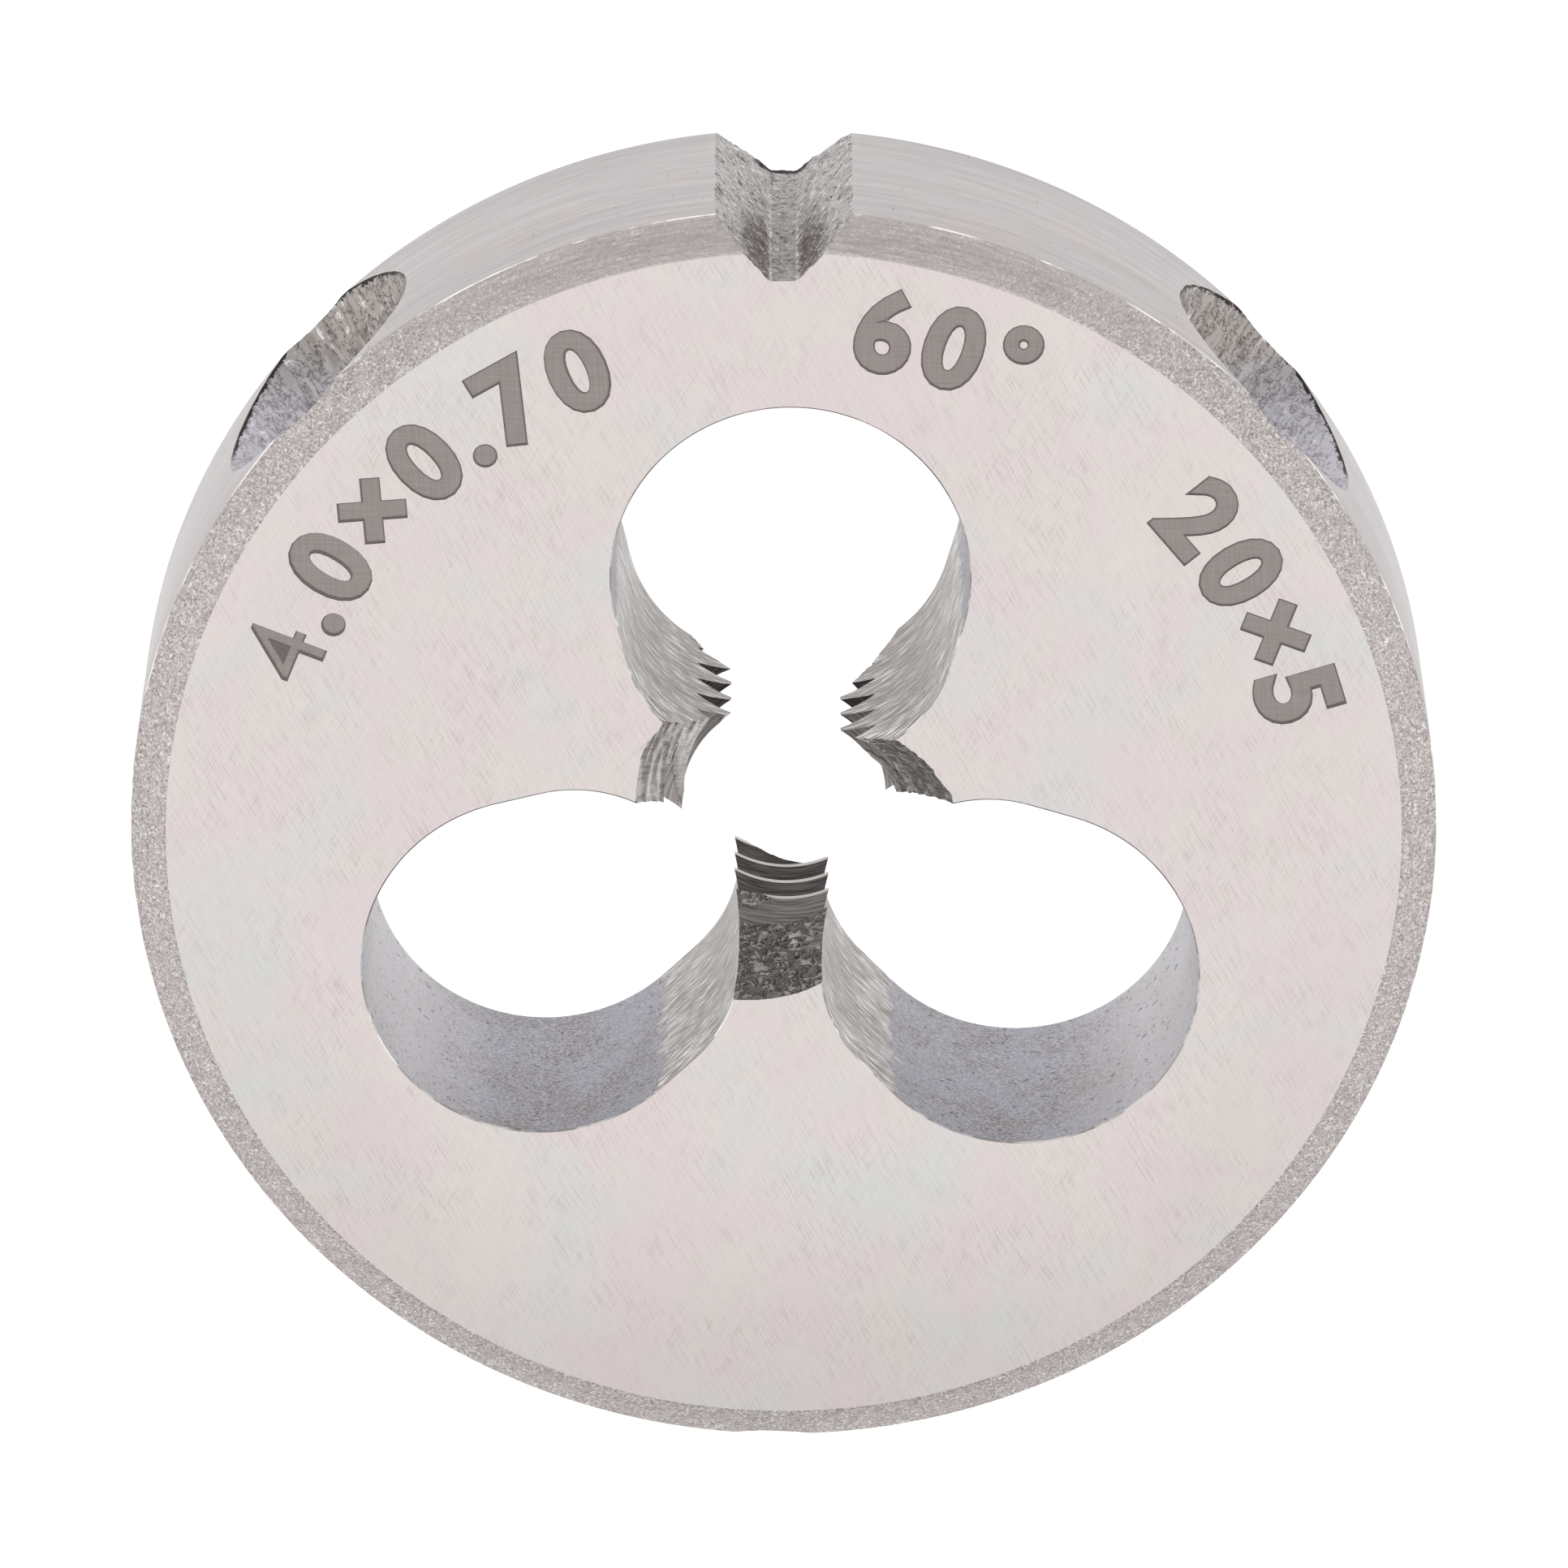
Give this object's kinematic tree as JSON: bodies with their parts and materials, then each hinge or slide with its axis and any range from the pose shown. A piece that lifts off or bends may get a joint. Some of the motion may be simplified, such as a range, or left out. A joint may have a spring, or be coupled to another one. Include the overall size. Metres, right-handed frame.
{
  "type": "round threading die",
  "caption": "Round closed threading die for cutting an external thread, with chip holes between toothed lands, an adjusting groove and holding dimples in the rim.",
  "frame": {"origin": "centre of the back face, on the die axis", "axes": "+Z along the die axis towards the front face where the cut starts, +Y towards the adjusting groove"},
  "size_m": [0.02, 0.0199, 0.0049],
  "materials": {
    "ground_steel": "ground, satin"
  },
  "bodies": {
    "root": {"round_die": "ground_steel"}
  },
  "joints": []
}
